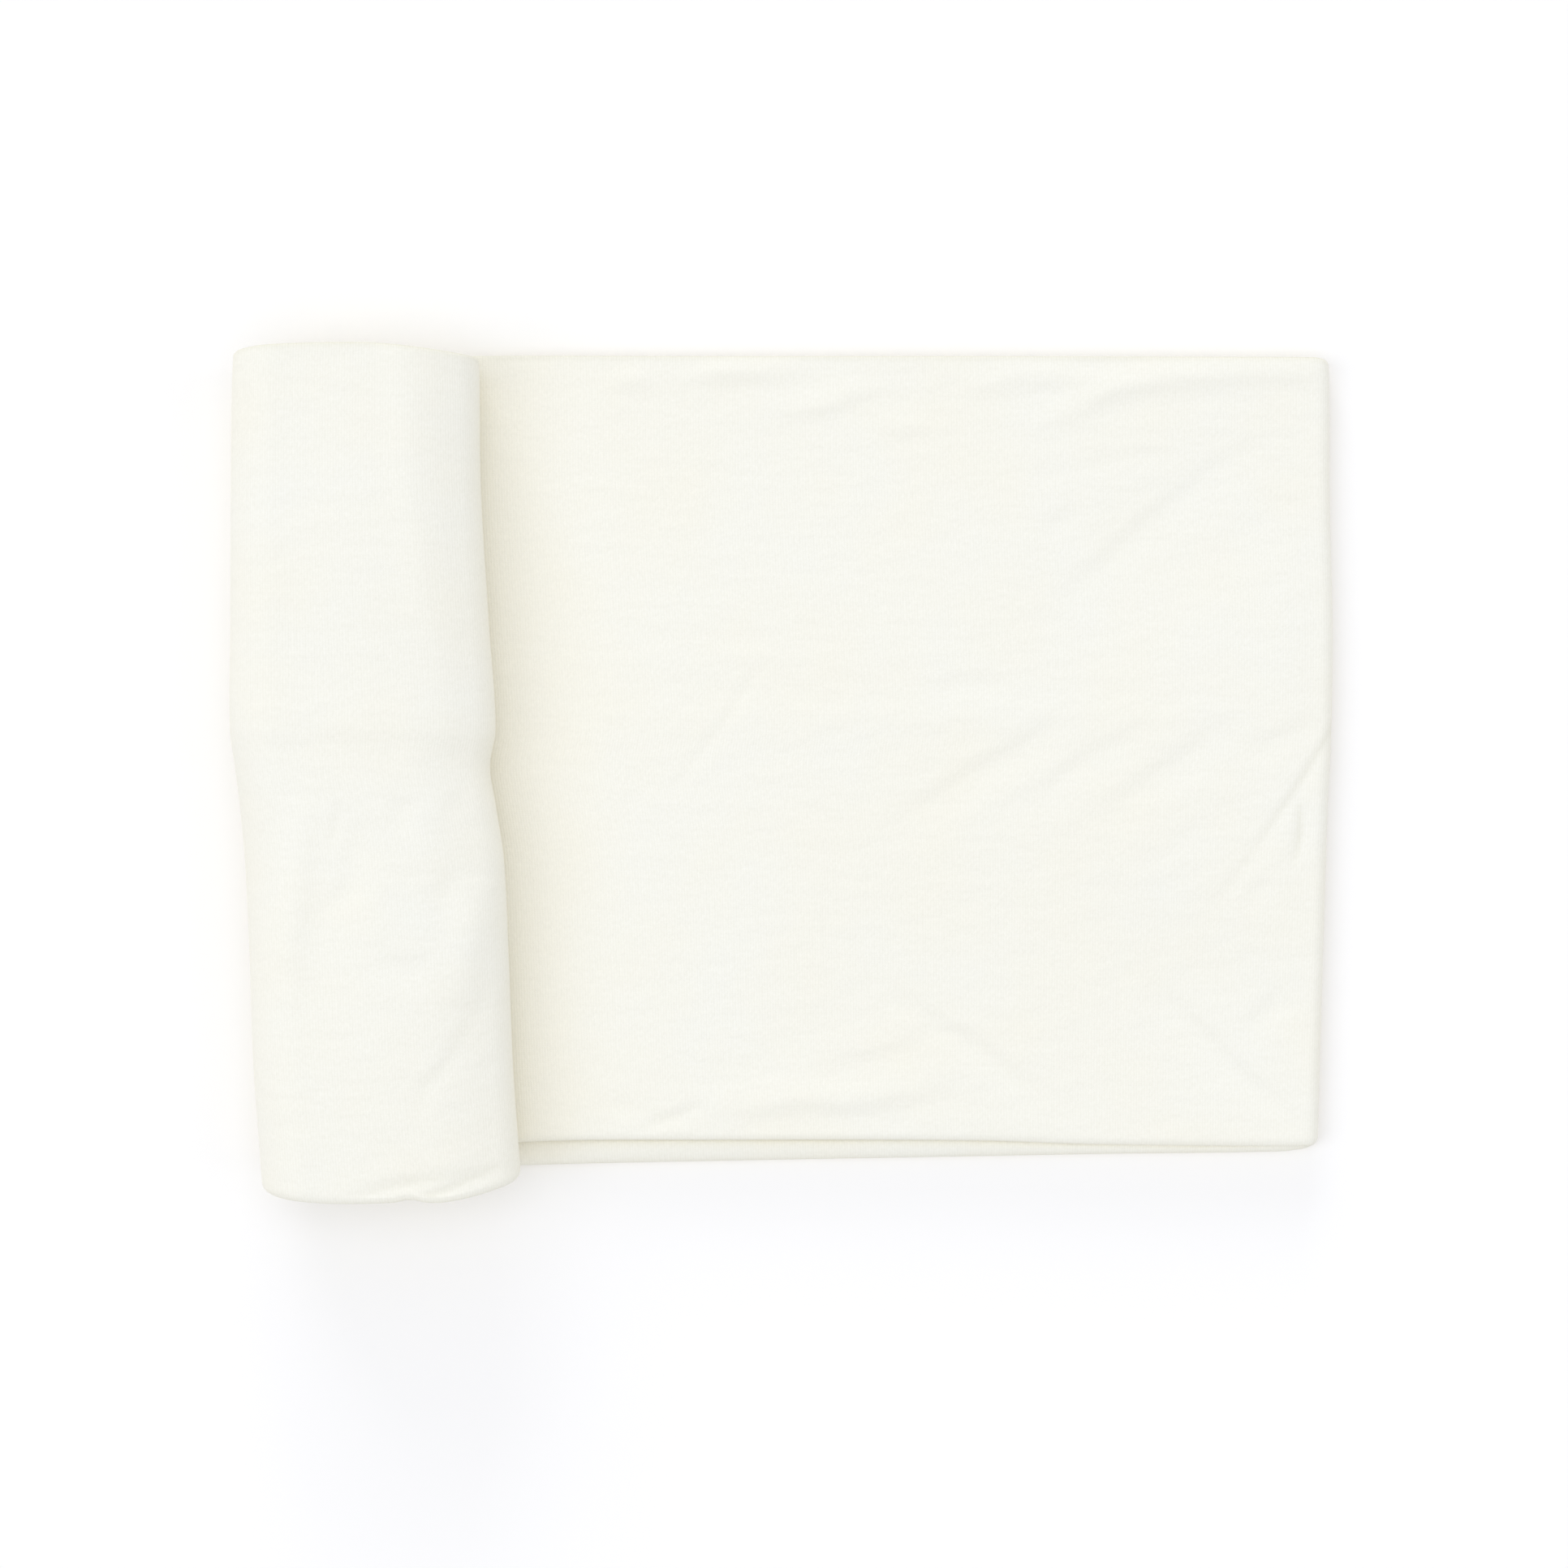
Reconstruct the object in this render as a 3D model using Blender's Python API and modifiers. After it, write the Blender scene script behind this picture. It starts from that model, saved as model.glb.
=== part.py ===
"""A square swaddle blanket of jersey knit: folded in four to a band, the band doubled at its right end, and
its left end rolled up.

Across the band the cloth goes back and forth in four layers. Layer 1 is outside, layers 2 and 3 are wrapped
in it, and layer 4 closes the fold. Along the band this stack starts inside the roll, comes out of it, lies
flat, turns round the right end and runs back under itself, and is rolled up with its own first half. So the
flat part has eight layers, and the roll winds all eight.

Plan sizes are taken from the middle of the view that looks straight down: X to the right, Y away from the
viewer, Z up from the surface that the blanket lies on.
"""

import math
from collections import namedtuple

import bmesh
import bpy

MM = 0.001

# The cloth
CLOTH = 1.0 * MM  # one layer of the knit
LAYERS = 4
FLAT_GAP = 0.35 * MM  # air between layers in the flat part
ROLL_GAP = 0.55 * MM  # and in the roll, where they lie looser
STACK_GAP = 0.5 * MM  # air between the two stacks that lie on each other

# The roll's section, before it is fitted to the outline
ROLL_WIDTH = 97 * MM
FLAT_LENGTH = 312 * MM
INNER_END = 21 * MM  # where the first end of the band lies, from the roll's left side
INNER_RISE = 5.0 * MM  # how far that end stands up over the rest of the inner strip
BEND_CORE = 1.4 * MM  # radius that the innermost face of the right bend keeps
LEFT_REACH = 8 * MM  # how far the left bend's innermost face bows out
SHOULDER = 28  # the roll's top slopes down to the right bend by so many degrees
SHOULDER_RUN = 22 * MM  # and takes so far to do it
CROWN = 1.0 * MM  # rise of the top's middle
REST_GAP = 0.5 * MM  # air between the flat part and the roll that lies on it

# How finely the shape is laid out
INNER_STEPS = 4
RIGHT_STEPS = 6
TOP_STEPS = 6
LEFT_STEPS = 7
UNDER_STEPS = 2
FLAT_STEPS = 8
END_STEPS = 6
ACROSS = (0.07, 0.28, 0.515, 0.75, 0.93)  # where a layer has points, from its front edge to its back edge
INNER_FOLD_STEPS = 3
OUTER_FOLD_STEPS = 6
HEM_INSET = {3: 3.5 * MM, 4: 6.0 * MM}  # how far each layer's hem stays in from the back edge

# The plan outline, in mm: the roll's left side, the line where it meets the flat part, and the right end
OUTLINE = (
    # y, left, seam, right
    (165, -205.5, -113.8, 205.0),
    (150, -206.2, -113.5, 205.8),
    (110, -206.6, -113.0, 205.9),
    (60, -206.8, -110.0, 207.0),
    (21, -207.0, -107.5, 206.6),
    (7, -205.2, -109.6, 206.0),
    (-8, -203.3, -107.4, 205.2),
    (-28, -201.4, -104.4, 204.5),
    (-65, -199.6, -102.6, 203.4),
    (-105, -198.2, -101.0, 202.2),
    (-135, -196.0, -98.9, 201.4),
    (-160, -194.2, -96.8, 200.6),
)

# The band's front and back edges in mm, for the upper stack and the lower one, along the band
EDGES = (
    # place along the band, upper front, upper back, lower front, lower back
    ("inner end", -141, 157, -143, 158),
    ("right bend low", -140, 156, -142, 157),
    ("right bend high", -144, 157, -149.5, 159.5),
    ("top middle", -149, 159, -154.5, 162.8),
    ("left bend high", -148, 159, -154, 162.2),
    ("left bend low", -141, 160, -147, 158.5),
    ("seam", -134.8, 161.4, -144, 158.0),
    ("flat middle", -134.1, 161.3, -141.2, 158.5),
    ("flat right", -135.6, 161.2, -139.8, 159.3),
    ("corner", -136.4, 161.0, -138.8, 160.2),
    ("right end", -136.2, 160.9, -137.8, 160.3),
)
CORNER_RUN = 9 * MM  # how far before the right end its corners begin
FRONT_CORNER = 1.1 * MM  # how much the turn at the right end still takes off its front corner, and its back one
BACK_CORNER = 0.9 * MM

SEAM_EASE = 18 * MM  # how far from the roll, and from the right end, the flat part takes to swell up
END_EASE = 22 * MM

# Soft forms of the top side, in mm: each is a long low mound or, where its rise is below zero, a trough
SWELLS = (
    # name, x, y, half length, half width, turn in degrees, rise
    ("flat part", 60, 10, 150, 110, 0, 2.0),
    ("back corner crease", 150, 90, 60, 26, 36, -0.9),
    ("front corner crease", 165, -85, 50, 26, -40, -0.9),
    ("roll back", -158, 75, 75, 30, 90, 1.2),
    ("roll front", -155, -95, 60, 30, 90, 1.4),
)

# The knit's colour
CREAM = (0.87, 0.86, 0.79, 1.0)

BOX_CENTRE = (0.20 * MM, 3.96 * MM)  # the middle of the finished part in the plan

# A place along one stack: its middle in XZ, the way to layer 1's side, the air between its layers, its front and
# back edges, how far it is round the turn at the right end, and whether it is outermost in the roll
Station = namedtuple("Station", "x z up_x up_z gap front back turn outermost")


def between(rows, at, column):
    """A smooth curve through one column of a table whose first column rises or falls steadily."""
    if rows[0][0] > rows[-1][0]:
        rows = rows[::-1]
    at = min(max(at, rows[0][0]), rows[-1][0])
    i = 0
    while i < len(rows) - 2 and at > rows[i + 1][0]:
        i += 1
    spots = [rows[min(max(k, 0), len(rows) - 1)] for k in (i - 1, i, i + 1, i + 2)]
    (x0, x1, x2, x3), (y0, y1, y2, y3) = ([row[c] for row in spots] for c in (0, column))
    width = x2 - x1
    rise_in = (y2 - y0) / (x2 - x0) * width
    rise_out = (y3 - y1) / (x3 - x1) * width
    t = (at - x1) / width
    return (
        y1 * (2 * t**3 - 3 * t**2 + 1)
        + rise_in * (t**3 - 2 * t**2 + t)
        + y2 * (3 * t**2 - 2 * t**3)
        + rise_out * (t**3 - t**2)
    )


def eased(t):
    """A soft step from 0 to 1."""
    t = min(max(t, 0.0), 1.0)
    return t * t * (3 - 2 * t)


def stack_height(gap):
    """The thickness of the four layers."""
    return LAYERS * CLOTH + (LAYERS - 1) * gap


def double_height(gap):
    """The thickness of both stacks on each other."""
    return 2 * stack_height(gap) + STACK_GAP


def swell(x, y):
    """How far the top side stands over its lowest level at a place of the plan."""
    rise = 0.0
    for _, at_x, at_y, half_length, half_width, turn, height in SWELLS:
        angle = math.radians(turn)
        across, along = x / MM - at_x, y / MM - at_y
        u = (across * math.cos(angle) + along * math.sin(angle)) / half_length
        v = (along * math.cos(angle) - across * math.sin(angle)) / half_width
        rise += height * math.exp(-(u**2) - v**2)
    return max(rise, 0.0) * MM


def roll_and_flat():
    """The middle of the doubled band in the XZ plane, from its inner end to its right end: for each step the
    point, the direction of the upper stack's side, the layer gap and the name of the place it reaches."""
    low = double_height(FLAT_GAP) / 2
    half = double_height(ROLL_GAP) / 2
    inner_z = 2 * low + REST_GAP + half
    bend = BEND_CORE + half
    right_x = ROLL_WIDTH - bend - half
    tilt = math.radians(SHOULDER)
    top_x = right_x + bend * math.sin(tilt)
    shoulder_drop = SHOULDER_RUN * math.tan(tilt) / 2
    high_z = inner_z + bend * (1 + math.cos(tilt)) + shoulder_drop
    left_x = LEFT_REACH + 2 * half
    left_z = (high_z + low) / 2
    steps = []

    def add(x, z, up_x, up_z, gap, name=None):
        size = math.hypot(up_x, up_z)
        steps.append(((x, z), (up_x / size, up_z / size), gap, name))

    for i in range(INNER_STEPS):
        t = i / INNER_STEPS
        x = INNER_END + (right_x - INNER_END) * t
        slope = -INNER_RISE * math.pi / 2 * math.sin(math.pi * t) / (right_x - INNER_END)
        rise = INNER_RISE * math.cos(math.pi * t / 2) ** 2
        add(x, inner_z + rise, -slope, 1, ROLL_GAP, None if i else "inner end")
    for i in range(RIGHT_STEPS + 1):
        a = (math.pi - tilt) * i / RIGHT_STEPS - math.pi / 2
        name = {0: "right bend low", RIGHT_STEPS: "right bend high"}.get(i)
        add(right_x + bend * math.cos(a), inner_z + bend * (1 + math.sin(a)),
            -math.cos(a), -math.sin(a), ROLL_GAP, name)
    for i in range(1, TOP_STEPS):
        t = i / TOP_STEPS
        x = top_x + (left_x - top_x) * t
        left_over = max(1 - (top_x - x) / SHOULDER_RUN, 0)
        slope = CROWN * math.pi * math.sin(2 * math.pi * t) / (left_x - top_x) - math.tan(tilt) * left_over
        z = high_z - shoulder_drop * left_over**2 + CROWN * math.sin(math.pi * t) ** 2
        add(x, z, slope, -1, ROLL_GAP, "top middle" if i == TOP_STEPS // 2 else None)
    reach, drop = LEFT_REACH + half, left_z - low
    for i in range(LEFT_STEPS + 1):
        a = math.pi * i / LEFT_STEPS
        gap = ROLL_GAP + (FLAT_GAP - ROLL_GAP) * eased(i / LEFT_STEPS)
        name = {0: "left bend high", LEFT_STEPS: "left bend low"}.get(i)
        add(left_x - reach * math.sin(a), left_z + drop * math.cos(a),
            math.sin(a) / reach, -math.cos(a) / drop, gap, name)
    for i in range(1, UNDER_STEPS + 1):
        x = left_x + (ROLL_WIDTH - left_x) * i / UNDER_STEPS
        add(x, low, 0, 1, FLAT_GAP, "seam" if i == UNDER_STEPS else None)
    last_x = ROLL_WIDTH + FLAT_LENGTH - low
    for i in range(1, FLAT_STEPS + 1):
        x = ROLL_WIDTH + (last_x - CORNER_RUN - ROLL_WIDTH) * i / FLAT_STEPS
        name = {FLAT_STEPS // 2: "flat middle", FLAT_STEPS * 3 // 4: "flat right", FLAT_STEPS: "corner"}.get(i)
        add(x, low, 0, 1, FLAT_GAP, name)
    add(last_x, low, 0, 1, FLAT_GAP, "right end")
    return steps


def band_edges(steps):
    """For each step, the edge table's row, run smoothly between the places it names."""
    run, far = [0.0], 0.0
    for (start, *_), (end, *_) in zip(steps, steps[1:]):
        far += math.dist(start, end)
        run.append(far)
    places = {step[3]: at for step, at in zip(steps, run) if step[3]}
    rows = [(places[name], *sizes) for name, *sizes in EDGES]
    return [[between(rows, at, column) * MM for column in (1, 2, 3, 4)] for at in run]


def stations():
    """The stack from its end inside the roll, through the flat part's upper half, round the right end, back
    through the lower half and round the roll to its other end."""
    steps = roll_and_flat()
    edges = band_edges(steps)
    left_low = [name for *_, name in steps].index("left bend low")
    upper, turn, lower = [], [], []
    for i, (((x, z), (up_x, up_z), gap, _), ends) in enumerate(zip(steps, edges)):
        off = (stack_height(gap) + STACK_GAP) / 2
        front, back, low_front, low_back = ends
        upper.append(Station(x + up_x * off, z + up_z * off, up_x, up_z, gap, front, back, 0, False))
        lower.append(Station(
            x - up_x * off, z - up_z * off, -up_x, -up_z, gap, low_front, low_back, 0, i < left_low
        ))
    for i in range(1, END_STEPS):
        t = i / END_STEPS
        up_x, up_z = math.sin(math.pi * t), math.cos(math.pi * t)
        turn.append(Station(
            x + off * up_x, z + off * up_z, up_x, up_z, gap,
            front + (low_front - front) * t, back + (low_back - back) * t, up_x**2, False,
        ))
    return upper + turn + lower[::-1]


def layer(number, pitch, front_in, back_in):
    """The points of one flat layer from front to back, each as its share of the way, its inset and its height."""
    height = (2.5 - number) * pitch
    points = [(0.0, front_in, height)]
    points += [(share, 0.0, height) for share in ACROSS]
    return points + [(1.0, -back_in, height)]


def fold(share, inset, height, radius, steps, side):
    """The points inside a round fold between two layers, from its lower layer to its upper one."""
    angles = [math.pi * (i / steps - 0.5) for i in range(1, steps)]
    return [(share, inset + side * radius * math.cos(a), height + radius * math.sin(a)) for a in angles]


def section(gap):
    """The cloth's path across the band, from layer 3's hem through layers 2 and 1 to layer 4's hem."""
    pitch = CLOTH + gap
    front_in = 1.5 * pitch + CLOTH / 2
    back_in = 0.5 * pitch + CLOTH / 2
    path = layer(3, pitch, front_in, HEM_INSET[3])[::-1]
    path += fold(0.0, front_in, 0.0, 0.5 * pitch, INNER_FOLD_STEPS, -1)
    path += layer(2, pitch, front_in, back_in)
    path += fold(1.0, -back_in, pitch, 0.5 * pitch, INNER_FOLD_STEPS, 1)
    path += layer(1, pitch, front_in, back_in)[::-1]
    path += fold(0.0, front_in, 0.0, 1.5 * pitch, OUTER_FOLD_STEPS, -1)[::-1]
    return path + layer(4, pitch, front_in, HEM_INSET[4])


def fitted(x, y):
    """X in the plan, once the straight roll and flat part are fitted between the outline's three lines."""
    left, seam, right = (between(OUTLINE, y / MM, column) * MM for column in (1, 2, 3))
    if x < ROLL_WIDTH:
        return left + (seam - left) * x / ROLL_WIDTH
    return seam + (right - seam) * (x - ROLL_WIDTH) / FLAT_LENGTH


def placed(station, share, inset, height):
    """A point of the cloth: share of the way from the front edge to the back one, moved back by inset, and at
    a height over the stack's middle."""
    pitch = CLOTH + station.gap
    reach = (stack_height(station.gap) + STACK_GAP) / 2
    corner = station.turn * (reach + height) / (reach + 1.5 * pitch)
    front = station.front + FRONT_CORNER * corner
    back = station.back - BACK_CORNER * corner
    y = front + (back - front) * share + inset
    x = station.x + station.up_x * height
    z = station.z + station.up_z * height
    rise = swell(fitted(x, y), y)
    if station.outermost:
        lift = rise * max(station.up_z, 0.0) * (height / pitch + 1.5) / 3
        x += station.up_x * lift
        z += station.up_z * lift
    elif x > ROLL_WIDTH:
        from_seam = eased((x - ROLL_WIDTH) / SEAM_EASE)
        from_end = eased((ROLL_WIDTH + FLAT_LENGTH - x) / END_EASE)
        z += rise * from_seam * from_end * z / double_height(FLAT_GAP)
    return fitted(x, y) - BOX_CENTRE[0], y - BOX_CENTRE[1], z


def cloth_surface(mesh):
    """The middle of the cloth as one open surface: a section at each station, joined to the next."""
    form = bmesh.new()
    rows = [
        [form.verts.new(placed(station, *point)) for point in section(station.gap)]
        for station in stations()
    ]
    for row, following in zip(rows, rows[1:]):
        for i in range(len(row) - 1):
            form.faces.new((row[i], row[i + 1], following[i + 1], following[i]))
    form.to_mesh(mesh)
    form.free()


def knit():
    material = bpy.data.materials.new("cream knit")
    material.use_nodes = True
    shader = material.node_tree.nodes["Principled BSDF"]
    shader.inputs["Base Color"].default_value = CREAM
    shader.inputs["Roughness"].default_value = 0.9
    shader.inputs["Metallic"].default_value = 0.0
    return material


def blanket(collection):
    mesh = bpy.data.meshes.new("blanket")
    cloth_surface(mesh)
    mesh.materials.append(knit())
    mesh.shade_smooth()
    piece = bpy.data.objects.new("blanket", mesh)
    collection.objects.link(piece)
    wall = piece.modifiers.new("cloth thickness", "SOLIDIFY")
    wall.thickness = CLOTH
    wall.offset = 0.0
    wall.use_even_offset = True
    return piece


def main():
    for thing in list(bpy.data.objects):
        bpy.data.objects.remove(thing)
    collection = bpy.data.collections.new("Swaddle blanket")
    bpy.context.scene.collection.children.link(collection)
    blanket(collection)


main()
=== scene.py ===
"""A cream swaddle blanket of jersey knit: folded in four to a band, the band doubled at its right end, and
its left end rolled up over the flat part.

The cloth is one closed sheet, laid out on a lattice: its steps run along the band and its units run
across it, through layers 3, 2, 1 and 4. Places in the plan are in millimetres from the middle of the view,
which looks straight down: X to the right, Y away from the viewer, Z up from the surface that the blanket
lies on."""

import math
from types import SimpleNamespace

import bpy
import numpy as np
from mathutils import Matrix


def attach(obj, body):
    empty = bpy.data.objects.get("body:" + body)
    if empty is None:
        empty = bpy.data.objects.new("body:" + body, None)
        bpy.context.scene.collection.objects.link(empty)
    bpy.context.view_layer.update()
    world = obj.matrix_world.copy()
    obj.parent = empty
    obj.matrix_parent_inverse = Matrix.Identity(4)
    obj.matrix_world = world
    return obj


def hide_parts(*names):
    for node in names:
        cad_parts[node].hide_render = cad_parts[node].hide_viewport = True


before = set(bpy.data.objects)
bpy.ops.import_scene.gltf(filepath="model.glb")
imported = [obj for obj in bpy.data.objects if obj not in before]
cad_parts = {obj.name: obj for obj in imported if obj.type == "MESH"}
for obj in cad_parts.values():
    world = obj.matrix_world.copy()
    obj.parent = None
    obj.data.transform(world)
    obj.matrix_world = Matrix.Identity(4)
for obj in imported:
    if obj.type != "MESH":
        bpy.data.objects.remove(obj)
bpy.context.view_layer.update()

MM = 0.001
NODE = "blanket"
BODY = "root"
FLAT_SIZE = (1.2, 1.2)  # the blanket before it was folded
BAND_WIDTH = FLAT_SIZE[1] / 4

# The cloth, its layers and the air between them
LAYER = 1.0 * MM  # a layer's share of the stack
THICKNESS = 0.9 * MM  # the knit itself
LAYERS = 4
OUTER = (LAYERS - 1) / 2  # pitches from the middle of a stack to its outer layers
FLAT_GAP = 0.35 * MM  # between two layers of the flat part
ROLL_GAP = 0.55 * MM  # between two layers in the roll
STACK_GAP = 0.5 * MM  # between the upper stack of four layers and the lower one

# The roll's section, before it is fitted to the outline
ROLL_WIDTH = 97 * MM
FLAT_LENGTH = 312 * MM
INNER_END = 21 * MM  # X at which the band ends inside the roll
INNER_RISE = 5.0 * MM  # how much higher that end lies than the rest of the inner strip
BEND_CORE = 1.4 * MM  # the air inside the right bend, as a radius
LEFT_REACH = 8 * MM  # how far the left bend's inner side reaches out
SHOULDER = 28  # in degrees, the slope at the top's right end
SHOULDER_RUN = 22 * MM  # how far that slope goes on, ever flatter
CROWN = 1.0 * MM  # how much higher the top's middle lies
REST_GAP = 0.5 * MM  # between the roll's inner strip and the flat part under it
CORNER_RUN = 9 * MM  # the last stretch before the turn at the right end
FRONT_CORNER = 1.1 * MM  # how far the turn draws in at its front corner
BACK_CORNER = 0.9 * MM  # and at its back corner
HEM_INSET = {3: 3.5 * MM, 4: 6.0 * MM}  # how far the hems of these layers lie in from the back edge

# The lattice along the band, and how many of its steps a plain cell takes
STRETCHES = (
    # name, steps, steps in a plain cell
    ("inner strip", 32, 8),
    ("right bend", 28, 2),
    ("top", 42, 7),
    ("left bend", 40, 4),
    ("under", 32, 16),
    ("crevice", 12, 6),
    ("flat", 192, 24),
    ("corner", 6, 3),
)
RIGHT_END = ("right end", 16, 2)
CREVICE = 17 * MM  # how far the flat part shows under the roll's side

# The lattice across the band, from layer 3's hem to layer 4's
PARTS = (
    # name, units, units in a plain cell
    ("layer 3", 20, 1),
    ("inner fold", 6, 2),
    ("layer 2", 20, 1),
    ("back fold", 6, 3),
    ("layer 1", 200, 10),
    ("outer fold", 12, 3),
    ("lip", 8, 4),
    ("layer 4", 19, 1),
)

# The steps and units in one cell where the cloth shows
FACE_CELL = (1, 1)
FOLD_CELL = (2, 1)
LIP_CELL = (4, 1)

# The plan outline: the roll's left side, the line where it meets the flat part, and the right end
OUTLINE = (
    # y, left, seam, right
    (165, -205.5, -113.8, 205.0),
    (150, -206.2, -113.5, 205.8),
    (110, -206.6, -113.0, 205.9),
    (60, -206.8, -110.0, 207.0),
    (21, -207.0, -107.5, 206.6),
    (7, -205.2, -109.6, 206.0),
    (-8, -203.3, -107.4, 205.2),
    (-28, -201.4, -104.4, 204.5),
    (-65, -199.6, -102.6, 203.4),
    (-105, -198.2, -101.0, 202.2),
    (-135, -196.0, -98.9, 201.4),
    (-160, -194.2, -96.8, 200.6),
)

# The band's front and back edges, for the upper stack and the lower one
EDGES = (
    # stretch, share of it, upper front, upper back, lower front, lower back
    ("inner strip", 0, -141, 157, -143, 158),
    ("right bend", 0, -140, 156, -142, 157),
    ("top", 0, -144, 157, -149.5, 159.5),
    ("top", 0.25, -147, 158, -153.6, 161.4),
    ("top", 0.36, -148, 158.5, -154.0, 162.2),
    ("top", 0.45, -148.7, 158.8, -152.8, 162.6),
    ("top", 0.55, -149, 159, -154.0, 162.8),
    ("left bend", 0, -148, 159, -154, 162.2),
    ("under", 0, -141, 160, -147, 158.5),
    ("flat", 0, -134.8, 161.4, -144, 158.0),
    ("flat", 0.25, -134.0, 161.3, -142.4, 158.2),
    ("flat", 0.6, -134.2, 161.3, -140.6, 158.7),
    ("flat", 0.75, -135.6, 161.2, -139.8, 159.3),
    ("corner", 0, -136.4, 161.0, -138.8, 160.2),
    ("corner", 1, -136.2, 160.9, -137.8, 160.3),
)

# How gently the flat part's soft forms begin beside the roll and end at the right end
SEAM_EASE = 18 * MM
END_EASE = 22 * MM

# The strip of the lower stack that shows in front of the upper one swells up softly
LIP_WIDTH = 13 * MM  # how much of layer 4 the lattice lays out more finely for it
LIP_RISE = 0.30  # its rise as a share of the width that shows
LIP_TUCK = 1.2 * MM  # how far the swelling goes in under the upper stack's round edge
LIP_EASE = 45 * MM  # how gently it begins beside the roll
LIP_LEAN = 1.2  # over 1, its highest line lies nearer the upper stack
LIP_FULLNESS = 0.6  # under 1, its top is broad and its sides are steep

# Soft forms of the top side, shared by all layers: long low mounds or, with a rise below zero, troughs
SWELLS = (
    # name, x, y, half length, half width, turn in degrees, rise
    ("flat part", 60, 10, 150, 110, 0, 2.0),
    ("back corner crease", 150, 90, 60, 26, 36, -0.9),
    ("front corner crease", 165, -85, 50, 26, -40, -0.9),
    ("roll back", -158, 75, 75, 30, 90, 1.2),
    ("roll front", -155, -95, 60, 30, 90, 1.4),
)

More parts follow.
